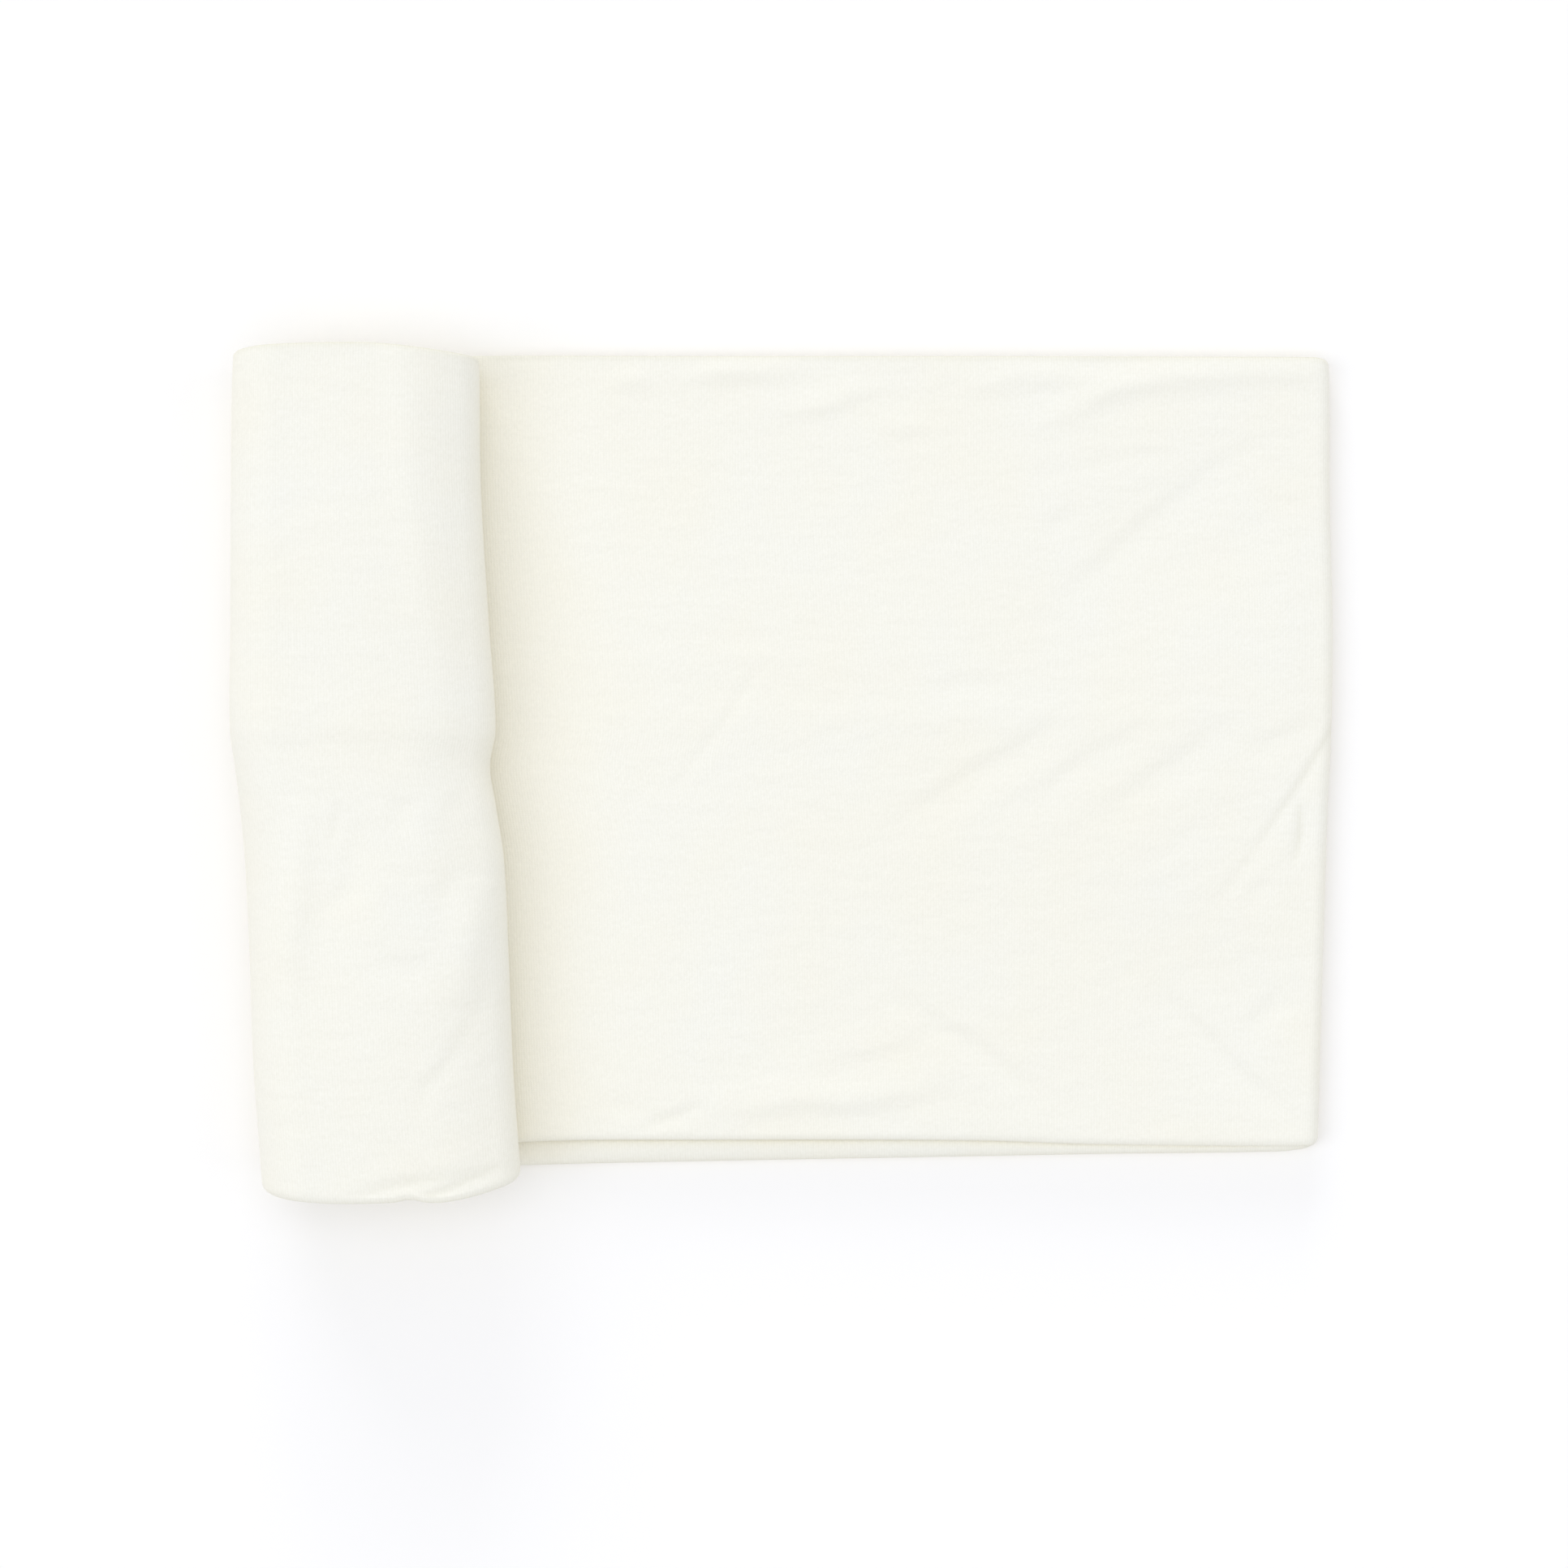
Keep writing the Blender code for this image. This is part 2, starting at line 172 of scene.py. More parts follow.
# Creases of the cloth that shows. Each has a line in the plan, the reach of its slopes to the left and the
# right of that line, its height, below zero for a trough, and how much shade is painted along it
CREASES = (
    # name, left reach, right reach, height, painted shade, points
    ("back edge, left", 5, 4, 0.50, 0, ((-66, 151), (-57, 152.5), (-48, 152))),
    ("back edge, dip", 5, 4, 0.68, 0, ((-40, 152.5), (-23, 155), (-9, 155.6), (8, 155))),
    (
        "back edge, low dip", 6, 3.5, 0.52, 0,
        ((-10, 141.5), (5, 141), (17, 143.3), (26, 146.8), (36, 149.5)),
    ),
    ("back edge, last dip", 4, 3.5, 0.35, 0, ((34, 136), (44, 134.5), (57, 135.5))),
    ("back edge, branch", 5, 4, 0.50, 0, ((66, 149), (86, 153), (104, 153), (124, 151))),
    (
        "back edge, right", 6, 4.5, 0.80, 0,
        (
            (96, 136), (108, 141), (118, 146), (126, 149.5),
            (148, 153), (170, 154.5), (190, 155), (212, 155.5),
        ),
    ),
    (
        "back corner, long", 3.5, 9, -0.40, 0,
        (
            (98, 65), (110, 75), (121, 84), (131, 93.5),
            (141, 102), (154.5, 112), (172.5, 125), (190, 131.5),
        ),
    ),
    ("back corner, short", 3.5, 8, -0.30, 0, ((96, 91), (103, 98), (109, 105))),
    (
        "back, faint line", 2.5, 5, -0.16, 0,
        ((72, 117), (103, 118), (120, 121.3), (140, 123.7), (150, 122)),
    ),
    ("middle, faint line", 3, 5, -0.25, 0, ((57, 37), (70, 38.7), (84, 37.5))),
    (
        "middle, lowest", 3.5, 10, -0.54, 0,
        ((38, -18), (52, -8.4), (62, -1.6), (74.3, 6.1), (86.2, 12.1), (98.3, 20.7), (108, 27)),
    ),
    (
        "middle", 3.5, 8, -0.42, 0,
        ((76, -12), (93, -4.2), (101.7, 0), (112, 8.7), (125.7, 15.6), (135, 23.5)),
    ),
    (
        "middle, highest", 4, 9, -0.47, 0,
        ((112, -14), (127.4, -6.7), (139.4, 3.5), (151.4, 10.4), (160, 19), (172, 23.5)),
    ),
    ("middle, by the end", 3.5, 6, -0.38, 0, ((174, 12), (187, 17.5), (201, 24.5))),
    (
        "right end, sharp", 1.5, 3.5, -0.42, 0.24,
        ((178, -22.5), (186, -10.5), (193, -0.2), (200.6, 12), (212, 30), (222, 46)),
    ),
    ("right end, its foot", 1.8, 5, -0.20, 0.05, ((160, -47), (167, -38), (178.3, -22.2), (190, -5))),
    ("right end, upright", 2, 3.5, -0.60, 0.35, ((191.4, -31), (193.8, -18.5), (193.4, -6))),
    ("right end, small", 3, 6, -0.35, 0, ((174, -44), (182.5, -36))),
    ("right end, faint line", 3, 6, -0.20, 0, ((141, -27), (154, -17), (167, -8))),
    ("front corner, short", 3.5, 6, -0.40, 0, ((172, -94), (180.7, -85.5), (189, -76))),
    (
        "front corner, long", 3, 8, -0.60, 0,
        ((134, -72), (151.7, -87), (162, -99), (172.3, -109.3), (181, -116.2), (190, -124)),
    ),
    (
        "front, long", 3, 7, -0.50, 0,
        ((35, -74), (50, -84), (61, -92.5), (71.5, -97.6), (81.7, -106), (88.6, -111), (102, -118)),
    ),
    (
        "front edge, sharp", 1.8, 4, -0.42, 0.12,
        ((-57, -130), (-43.5, -125), (-36.5, -122.3), (-30, -118.8)),
    ),
    ("front edge, spot", 3, 5, -0.28, 0, ((-67, -120.5), (-58, -121.5), (-49, -120.5))),
    (
        "front edge, wide", 9, 4.5, 0.85, 0,
        (
            (-36, -123.5), (-16, -120.8), (-2, -119.4), (9.5, -118),
            (22, -118.6), (36, -117.2), (47, -115), (62, -111),
        ),
    ),
    ("front edge, inner", 8, 4.5, 0.40, 0, ((2, -105), (21, -101.3), (35, -97.2), (50, -92))),
    ("thin line", 2, 3, -0.22, 0.04, ((-43, -2), (-35, 8), (-24, 22), (-14, 38), (-10, 44))),
    ("fold mark, flat", 5, 9, 0.20, 0, ((-98, 25), (60, 26), (205, 25))),
    ("fold mark, upper", 4, 8, 0.12, 0, ((-84, 47), (65, 48))),
    ("fold mark, roll", 13, 5, 0.32, 0, ((-209, 20), (-160, 21), (-104, 19))),
    ("roll ridge", 8, 6, 1.10, 0, ((-181, -72), (-179, -40), (-177, -3))),
    ("roll left hollow", 3.5, 6, -0.40, 0, ((-188, -62), (-188.5, -35), (-188.5, -6))),
    ("roll hollow", 4, 8, -0.60, 0, ((-169, -48), (-160.5, -38), (-158, -22), (-159, -13))),
    ("roll small hollow", 4, 6, -0.55, 0, ((-142, -19), (-141, -11), (-141, -4))),
    ("roll nick", 1.8, 4, -0.40, 0.1, ((-167, -23), (-165, -14), (-164.5, -4))),
    ("roll dent", 4, 7, -0.36, 0, ((-150, -66), (-138, -66.5), (-128, -65))),
    ("roll shoulder bulge", 9, 8, 1.70, 0, ((-119, -84), (-115.5, -57), (-112, -32))),
    (
        "roll shoulder, back", 20, 8, 1.60, 0,
        ((-142, 195), (-140, 150), (-136, 110), (-130.5, 74), (-125, 40), (-119, 5)),
    ),
    ("roll shoulder dent", 4, 4, -0.35, 0, ((-121, -4), (-122, -14))),
    ("roll low dent", 4, 5, -0.40, 0, ((-124, -44), (-123, -33))),
    ("roll back corner", 5, 5, -0.55, 0, ((-134, 162), (-123, 152), (-112, 136))),
    (
        "roll slant", 2.2, 6, -0.38, 0.10,
        ((-135, -123), (-132.3, -110.5), (-124.8, -103), (-120.8, -95.5), (-113, -79)),
    ),
    (
        "roll end, right", 2, 3.5, -0.60, 0.3,
        ((-147, -161), (-135, -153.3), (-123.6, -148.6), (-112.4, -143.9), (-103, -140)),
    ),
    (
        "roll end, left", 2.5, 4, -0.55, 0.2,
        ((-161, -153), (-146.3, -147.9), (-137, -146), (-127.5, -145), (-112, -141)),
    ),
)
BANKS = 0.25  # how strongly the cloth rises beside a trough and sinks beside a ridge
BANKS_REACH = 2.2  # how much wider these banks are than the crease
DEEPEST = 0.6 * MM  # how far a crease may press into the layer under it
CREASE_STEPS = 10  # straight pieces between two points of a crease
CREASE_SIDES = 5  # reaches from its line at which a crease is taken to have ended
TIP = 0.02  # the share of a crease's length at each tip where it fades no further
FADE = 0.7  # under 1, a crease keeps most of its height until near its tips
CREASE_SHADE_REACH = 1.3  # in mm, how far the painted shade goes beside a sharp crease
FACING_UP = 0.05  # how much a face must turn up for creases to be pressed in
SLANT_FADE = 0.5  # how they fade where the face slants
FLAT_FROM = -120 * MM  # X from which the flat part has creases: a little way under the roll

# The knit's colours, with its painted shade at folds, creases and beside the roll, and its UV map, which
# holds the cloth's own length and width in metres
CREAM = (0.954, 0.928, 0.828, 1.0)
# warm patches at random, and the painted warm shade beside the roll
CREAM_WARM_AND_BOUNCE = (0.960, 0.918, 0.786, 1.0)
# the deeper tone where the yarn is uneven, and painted shade in grooves, at fold edges and along sharp
# creases
CREAM_DEEP_AND_SHADE = (0.78, 0.75, 0.61, 1.0)
RUN_MAP = "Cloth run"
SHADE_MARK = "Painted fold and crease shade"  # painted shade at each point: highest on the edge of a long fold or along a sharp crease
FOLD_SHADE_DEPTHS = {"back fold": 1.0, "outer fold": 0.4}  # how much shade is painted on the edge of each fold
# how far the painted shade reaches from a fold's edge
FOLD_SHADE_REACH = 1.6 * MM
BOUNCE_MARK = "Painted warm shade by the roll"  # painted warm shade at each point, for light bounced between the cloth: 1 where the flat part meets the roll, less away from it
# how far that painted warm shade reaches onto the flat part
BOUNCE_REACH = 26 * MM

# The jersey: its noises, in turns a metre and stretched along and across it, and the form of a stitch
WAVER_SCALE = 160.0
YARN_SCALE, YARN_STRETCH, YARN_DETAIL = 850.0, (1.0, 0.8), 2.0
COCKLING_SCALE, COCKLING_STRETCH = 160.0, (0.5, 1.0)
STITCH_SLANT = 0.45  # how far the sides of the V lie beyond its middle, in stitches
ROUNDNESS = 2.0  # the power that rounds a rib and a loop
RIB_HEIGHT = 0.35
LOOP_HEIGHT = 0.3
GROOVE_SHARPNESS = 4.0

# The finish: shares of the deep tone, painted as shade in the grooves and at folds, and the yarn's own
# tone; the warm patches; and the surface
# painted shade in the grooves between ribs
GROOVE_SHADE_TONE = 0.2
YARN_TONE = 0.35
# painted shade at fold edges and along sharp creases
FOLD_SHADE_TONE = 0.9
PATCH_CONTRAST, PATCH_LEVEL = 1.6, -0.4
ROUGHNESS, FUZZ_ROUGHNESS = 0.82, 0.15
FUZZ_HEIGHT = 0.35
KNIT_STRENGTH, KNIT_HEIGHT = 0.5, 0.15 * MM
SHINE = 0.2
SHEEN, SHEEN_ROUGHNESS = 0.08, 0.5
COLOUR_A, COLOUR_B, COLOUR_OUT = 6, 7, 2  # which of a Mix node's sockets hold its colours

# The room
FLOOR_WHITE = (0.985, 0.957, 0.905, 1.0)
FLOOR_SIZE, FLOOR_ROUGHNESS = 12, 0.9
LIGHT_TINT = (0.970, 1.0, 1.075)
ROOM_LIGHT = 0.638
LIGHTS = (
    # name, direction, height, width, strength; the first three are in degrees, and the direction is counted
    # from straight behind round by the left
    ("overhead", 0, 90, 60, 0.60),
    ("back, low", 0, 12, 16, 0.42),
    ("back left, low", 18, 15, 24, 0.48),
    ("left", 98, 46, 36, 0.48),
    ("right", 270, 40, 35, 0.24),
)
CAMERA_HEIGHT = 1.4
VIEW_WIDTH = 0.5892  # what the picture's width takes in at the blanket's upper side
UPPER_SIDE = 0.012
VIEW_CENTRE = (-0.20 * MM, -3.96 * MM)  # the middle of the view, from the part's origin


# ---------------------------------------------------------------- curves and tables

def between(rows, at, column):
    """A smooth curve through one column of a table whose first column rises or falls steadily."""
    places = np.array([row[0] for row in rows], float)
    values = np.array([row[column] for row in rows], float)
    if places[0] > places[-1]:
        places, values = places[::-1], values[::-1]
    last = len(places) - 1
    before = np.maximum(np.arange(last + 1) - 1, 0)
    after = np.minimum(np.arange(last + 1) + 1, last)
    slopes = (values[after] - values[before]) / (places[after] - places[before])
    at = np.clip(at, places[0], places[-1])
    i = np.clip(np.searchsorted(places, at) - 1, 0, last - 1)
    width = places[i + 1] - places[i]
    t = (at - places[i]) / width
    return (
        values[i] * (2 * t**3 - 3 * t**2 + 1)
        + slopes[i] * width * (t**3 - 2 * t**2 + t)
        + values[i + 1] * (3 * t**2 - 2 * t**3)
        + slopes[i + 1] * width * (t**3 - t**2)
    )


def eased(t):
    """A soft step from 0 to 1."""
    t = np.clip(t, 0.0, 1.0)
    return t * t * (3 - 2 * t)


def stack_height(gap):
    """The thickness of the four layers."""
    return LAYERS * LAYER + (LAYERS - 1) * gap


def double_height(gap):
    """The thickness of both stacks on each other."""
    return 2 * stack_height(gap) + STACK_GAP


def swell(x, y):
    """How far the top side stands over its lowest level at a place of the plan."""
    rise = np.zeros(np.broadcast(x, y).shape)
    for _, at_x, at_y, half_length, half_width, turn, height in SWELLS:
        angle = math.radians(turn)
        across, along = x / MM - at_x, y / MM - at_y
        u = (across * math.cos(angle) + along * math.sin(angle)) / half_length
        v = (along * math.cos(angle) - across * math.sin(angle)) / half_width
        rise += height * np.exp(-(u**2) - v**2)
    return np.maximum(rise, 0.0) * MM


# ---------------------------------------------------------------- the lattice along the band

def band_middle():
    """The middle of the doubled band in the XZ plane, step by step, with the direction of the upper stack's
    side and the gap between layers, and the step at which each stretch begins."""
    low = double_height(FLAT_GAP) / 2
    half = double_height(ROLL_GAP) / 2
    inner_z = 2 * low + REST_GAP + half
    bend = BEND_CORE + half
    right_x = ROLL_WIDTH - bend - half
    tilt = math.radians(SHOULDER)
    top_x = right_x + bend * math.sin(tilt)
    shoulder_drop = SHOULDER_RUN * math.tan(tilt) / 2
    high_z = inner_z + bend * (1 + math.cos(tilt)) + shoulder_drop
    left_x = LEFT_REACH + 2 * half
    left_z = (high_z + low) / 2
    reach, drop = LEFT_REACH + half, left_z - low
    last_x = ROLL_WIDTH + FLAT_LENGTH - low
    crevice_x, corner_x = ROLL_WIDTH - CREVICE, last_x - CORNER_RUN

    def inner_strip(t):
        slope = -INNER_RISE * math.pi / 2 * np.sin(math.pi * t) / (right_x - INNER_END)
        x = INNER_END + (right_x - INNER_END) * t
        return x, inner_z + INNER_RISE * np.cos(math.pi * t / 2) ** 2, -slope, 1, ROLL_GAP

    def right_bend(t):
        a = (math.pi - tilt) * t - math.pi / 2
        x, z = right_x + bend * np.cos(a), inner_z + bend * (1 + np.sin(a))
        return x, z, -np.cos(a), -np.sin(a), ROLL_GAP

    def top(t):
        x = top_x + (left_x - top_x) * t
        left_over = np.maximum(1 - (top_x - x) / SHOULDER_RUN, 0)
        slope = CROWN * math.pi * np.sin(2 * math.pi * t) / (left_x - top_x) - math.tan(tilt) * left_over
        z = high_z - shoulder_drop * left_over**2 + CROWN * np.sin(math.pi * t) ** 2
        return x, z, slope, -1, ROLL_GAP

    def left_bend(t):
        a = math.pi * t
        gap = ROLL_GAP + (FLAT_GAP - ROLL_GAP) * eased(t)
        x, z = left_x - reach * np.sin(a), left_z + drop * np.cos(a)
        return x, z, np.sin(a) / reach, -np.cos(a) / drop, gap

    def straight(start, end):
        return lambda t: (start + (end - start) * t, low, 0, 1, FLAT_GAP)

    forms = {
        "inner strip": inner_strip,
        "right bend": right_bend,
        "top": top,
        "left bend": left_bend,
        "under": straight(left_x, crevice_x),
        "crevice": straight(crevice_x, ROLL_WIDTH),
        "flat": straight(ROLL_WIDTH, corner_x),
        "corner": straight(corner_x, last_x),
    }
    columns, starts, total = [], {}, 0
    for name, steps, _ in STRETCHES:
        starts[name] = total
        t = np.arange(steps + (name == STRETCHES[-1][0])) / steps
        columns.append(np.array([value + 0 * t for value in forms[name](t)]))
        total += steps
    x, z, up_x, up_z, gap = np.concatenate(columns, axis=1)
    size = np.hypot(up_x, up_z)
    return SimpleNamespace(x=x, z=z, up_x=up_x / size, up_z=up_z / size, gap=gap), starts


def band_edges(middle, starts):
    """The edge table's four columns at every step."""
    run = np.concatenate([[0], np.cumsum(np.hypot(np.diff(middle.x), np.diff(middle.z)))])
    sizes = {name: steps for name, steps, _ in STRETCHES}
    rows = [(run[starts[name] + round(share * sizes[name])], *edges) for name, share, *edges in EDGES]
    return [between(rows, run, column) * MM for column in (1, 2, 3, 4)]


def stations():
    """Every step of the whole band: the upper stack from its end inside the roll, the turn at the right
    end, and the lower stack back round the roll."""
    middle, starts = band_middle()
    front, back, low_front, low_back = band_edges(middle, starts)
    off = (stack_height(middle.gap) + STACK_GAP) / 2
    t = np.arange(1, RIGHT_END[1]) / RIGHT_END[1]
    turn_x, turn_z = np.sin(math.pi * t), np.cos(math.pi * t)
    in_turn = {
        "x": middle.x[-1] + off[-1] * turn_x,
        "z": middle.z[-1] + off[-1] * turn_z,
        "up_x": turn_x,
        "up_z": turn_z,
        "gap": 0 * t + FLAT_GAP,
        "front": front[-1] + (low_front[-1] - front[-1]) * t,
        "back": back[-1] + (low_back[-1] - back[-1]) * t,
        "turn": turn_x**2,
        "outermost": 0 * t,
        "lip": 0 * t,
        "by_roll": 0 * t,
    }
    steps = np.arange(len(middle.x))
    past_roll = np.maximum(middle.x - ROLL_WIDTH, 0)
    # painted warm shade, for light bounced between the roll and the flat part
    by_roll = np.exp(-((past_roll / BOUNCE_REACH) ** 2)) * (steps >= starts["crevice"])
    upper = {
        "x": middle.x + middle.up_x * off,
        "z": middle.z + middle.up_z * off,
        "up_x": middle.up_x,
        "up_z": middle.up_z,
        "gap": middle.gap,
        "front": front,
        "back": back,
        "turn": 0.0 * steps,
        "outermost": 0.0 * steps,
        "lip": 0.0 * steps,
        "by_roll": by_roll,
    }
    lower = {
        "x": middle.x - middle.up_x * off,
        "z": middle.z - middle.up_z * off,
        "up_x": -middle.up_x,
        "up_z": -middle.up_z,
        "gap": middle.gap,
        "front": low_front,
        "back": low_back,
        "turn": 0.0 * steps,
        "outermost": 1.0 * (steps < starts["under"]),
        "lip": (front - low_front) * (steps >= starts["crevice"]),
        "by_roll": by_roll,
    }
    whole = {key: np.concatenate([upper[key], in_turn[key], lower[key][::-1]])[:, None] for key in upper}
    return SimpleNamespace(**whole)


def spans_along():
    """Each stretch of the whole band: its stack, its name, its first and last step and the steps of a plain
    cell."""
    spans, at = [], 0
    rows = [("upper", *row) for row in STRETCHES] + [("turn", *RIGHT_END)]
    rows += [("lower", *row) for row in reversed(STRETCHES)]
    for stack, name, steps, plain in rows:
        spans.append((stack, name, at, at + steps, plain))
        at += steps
    return spans


# ---------------------------------------------------------------- the lattice across the band

def section():
    """Every unit across the band: its share of the way from the front edge to the back one, its inset from
    that as pitch_in pitches and plain_in metres, its height in pitches, and the direction of the cloth's
    outer face."""
    rows = []
    edge = LAYER / 2

    def layer(number, units, from_back, with_end=False, hem=None, span=(0, 1)):
        t = span[0] + (span[1] - span[0]) * np.arange(units + with_end) / units
        share = 1 - t if from_back else t
        back_pitches, back_plain = (0, hem) if hem else (0.5, edge)
        face = 1 if from_back else -1
        for s in share:
            pitch_in = (1 - s) * OUTER - s * back_pitches
            plain_in = (1 - s) * edge - s * back_plain
            rows.append((s, pitch_in, plain_in, OUTER + 1 - number, 0, face))

    def fold(share, middle, radius, units, side, rising):
        """Units round a fold: side -1 at the front edge and 1 at the back one."""
        for k in range(units):
            a = math.pi * (k / units - 0.5) * rising
            pitch_in = (OUTER if side < 0 else -0.5) + side * radius * math.cos(a)
            out = side * rising
            face_y, face_z = out * side * math.cos(a), out * math.sin(a)
            rows.append((share, pitch_in, -side * edge, middle + radius * math.sin(a), face_y, face_z))

    units = {name: count for name, count, _ in PARTS}
    layer(3, units["layer 3"], True, hem=HEM_INSET[3])
    fold(0, 0, 0.5, units["inner fold"], -1, 1)
    layer(2, units["layer 2"], False)
    fold(1, 1, 0.5, units["back fold"], 1, 1)
    layer(1, units["layer 1"], True)
    fold(0, 0, OUTER, units["outer fold"], -1, -1)
    lip = LIP_WIDTH / BAND_WIDTH
    layer(4, units["lip"], False, hem=HEM_INSET[4], span=(0, lip))
    layer(4, units["layer 4"], False, with_end=True, hem=HEM_INSET[4], span=(lip, 1))
    keys = ("share", "pitch_in", "plain_in", "height", "face_y", "face_z")
    return SimpleNamespace(**{key: column[None, :] for key, column in zip(keys, np.array(rows, float).T)})


def spans_across():
    """Each part of the section: its name, its first and last unit and the units of a plain cell."""
    spans, at = [], 0
    for name, units, plain in PARTS:
        spans.append((name, at, at + units, plain))
        at += units
    return spans


def fineness(side, stack, stretch, part, plain_along, plain_across):
    """How many steps and units one cell takes: few where the cloth shows, more elsewhere."""
    on_roll = stack == "lower" and stretch in ("right bend", "top", "left bend")
    on_flat = stack == "upper" and stretch in ("crevice", "flat", "corner") or stack == "turn"
    if part == "lip" and stack == "lower" and stretch == "flat":
        return LIP_CELL
    if side < 0 or stretch == "inner strip" or part not in ("layer 1", "back fold", "outer fold"):
        return plain_along, plain_across
    if on_roll or on_flat:
        return FACE_CELL if part == "layer 1" else FOLD_CELL
    return (plain_along, plain_across) if part == "layer 1" else (max(plain_along // 2, 1), 2)


# ---------------------------------------------------------------- the cloth in space

def fitted(x, y):
    """X in the plan, once the straight roll and flat part are fitted between the outline's three lines."""
    left, seam, right = (between(OUTLINE, y / MM, column) * MM for column in (1, 2, 3))
    on_roll = left + (seam - left) * x / ROLL_WIDTH
    on_flat = seam + (right - seam) * (x - ROLL_WIDTH) / FLAT_LENGTH
    return np.where(x < ROLL_WIDTH, on_roll, on_flat)


def smooth_line(points):
    """A smooth line through a crease's points, with the share of the way at each."""
    points = np.array(points, float)
    at = np.linspace(0, len(points) - 1, CREASE_STEPS * (len(points) - 1) + 1)
    line = [between([(i, p) for i, p in enumerate(points[:, k])], at, 1) for k in (0, 1)]
    return np.array(line).T, at / at[-1]


def creases(x, y):
    """The creases' height in mm at places of the plan in mm, and how much shade is painted there."""
    total, deep_tone_and_shade = np.zeros(len(x)), np.zeros(len(x))
    for _, left_reach, right_reach, height, shade_depth, points in CREASES:
        line, shares = smooth_line(points)
        widest = CREASE_SIDES * max(left_reach, right_reach)
        low, high = line.min(axis=0) - widest, line.max(axis=0) + widest
        near = np.flatnonzero((x > low[0]) & (x < high[0]) & (y > low[1]) & (y < high[1]))
        if not len(near):
            continue
        best = np.full(len(near), np.inf)
        signed, share = np.zeros(len(near)), np.zeros(len(near))
        for (start, end), (from_share, to_share) in zip(zip(line, line[1:]), zip(shares, shares[1:])):
            way = end - start
            size = math.hypot(*way)
            dx, dy = x[near] - start[0], y[near] - start[1]
            t = np.clip((dx * way[0] + dy * way[1]) / size**2, 0, 1)
            off_x, off_y = dx - way[0] * t, dy - way[1] * t
            distance = np.hypot(off_x, off_y)
            closer = distance < best
            best = np.where(closer, distance, best)
            signed = np.where(closer, np.sign(way[0] * off_y - way[1] * off_x) * distance, signed)
            share = np.where(closer, from_share + (to_share - from_share) * t, share)
        reach = np.where(signed > 0, left_reach, right_reach)
        fade = np.sin(math.pi * np.clip(share, TIP, 1 - TIP)) ** FADE
        banks = BANKS * np.exp(-((best / reach / BANKS_REACH) ** 2))
        total[near] += height * fade * (np.exp(-((best / reach) ** 2)) - banks) / (1 - BANKS)
        # painted shade along a sharp crease
        deep_tone_and_shade[near] += shade_depth * fade * np.exp(-((best / CREASE_SHADE_REACH) ** 2))
    return total, deep_tone_and_shade


def placed(st, sec, side):
    """Every lattice point on one side of the cloth, as X, Y and Z in the part's own frame."""
    pitch = LAYER + st.gap
    half = side * THICKNESS / 2
    height = sec.height * pitch + half * sec.face_z
    inset = sec.pitch_in * pitch + sec.plain_in + half * sec.face_y
    reach = (stack_height(st.gap) + STACK_GAP) / 2
    corner = st.turn * (reach + height) / (reach + OUTER * pitch)
    front = st.front + FRONT_CORNER * corner
    back = st.back - BACK_CORNER * corner
    y = front + (back - front) * sec.share + inset
    x = st.x + st.up_x * height
    z = st.z + st.up_z * height
    rise = swell(fitted(x, y), y)
    roll_lift = st.outermost * rise * np.maximum(st.up_z, 0.0) * (height / pitch + OUTER) / (LAYERS - 1)
    from_seam = eased((x - ROLL_WIDTH) / SEAM_EASE)
    from_end = eased((ROLL_WIDTH + FLAT_LENGTH - x) / END_EASE)
    flat_lift = (1 - st.outermost) * rise * from_seam * from_end * z / double_height(FLAT_GAP)
    flat_lift = np.where(x > ROLL_WIDTH, flat_lift, 0.0)
    over_strip = np.clip((y - front) / (st.lip + LIP_TUCK), 0, 1)
    on_layer_4 = np.clip(-sec.height - (OUTER - 1), 0, 1)
    bulge = np.sin(math.pi * over_strip**LIP_LEAN) ** LIP_FULLNESS
    strip_lift = LIP_RISE * st.lip * bulge * on_layer_4
    from_roll = eased((x - ROLL_WIDTH) / LIP_EASE)
    flat_lift = flat_lift + strip_lift * from_roll * from_end
    x = x + st.up_x * roll_lift
    z = z + st.up_z * roll_lift + flat_lift
    return np.stack([fitted(x, y), y, z], axis=-1)


def relief(points, shade_marks, st, columns):
    """Presses the creases into the outer face of layer 1, where it faces up, and paints shade along the
    sharp ones.
    """
    shows = (st.outermost[:, 0] > 0) | (points[:, columns.start, 0] > FLAT_FROM)
    rows = np.flatnonzero((st.up_z[:, 0] > FACING_UP) & shows)
    face = points[rows, columns]
    x, y = face[..., 0].ravel() / MM, face[..., 1].ravel() / MM
    height, deep_tone_and_shade = (values.reshape(face.shape[:2]) for values in creases(x, y))
    height = np.maximum(height * MM, -DEEPEST) * st.up_z[rows] ** SLANT_FADE
    face = face.copy()
    face[..., 0] += height * st.up_x[rows]
    face[..., 2] += height * st.up_z[rows]
    points[rows, columns] = face
    shade_marks[rows, columns] += deep_tone_and_shade


def cells(side, along, across):
    """Every cell on one side as (first step, last step, first unit, last unit)."""
    found = []
    for stack, stretch, i0, i1, plain_along in along:
        for part, j0, j1, plain_across in across:
            step, unit = fineness(side, stack, stretch, part, plain_along, plain_across)
            found += [(i, i + step, j, j + unit) for i in range(i0, i1, step) for j in range(j0, j1, unit)]
    return found


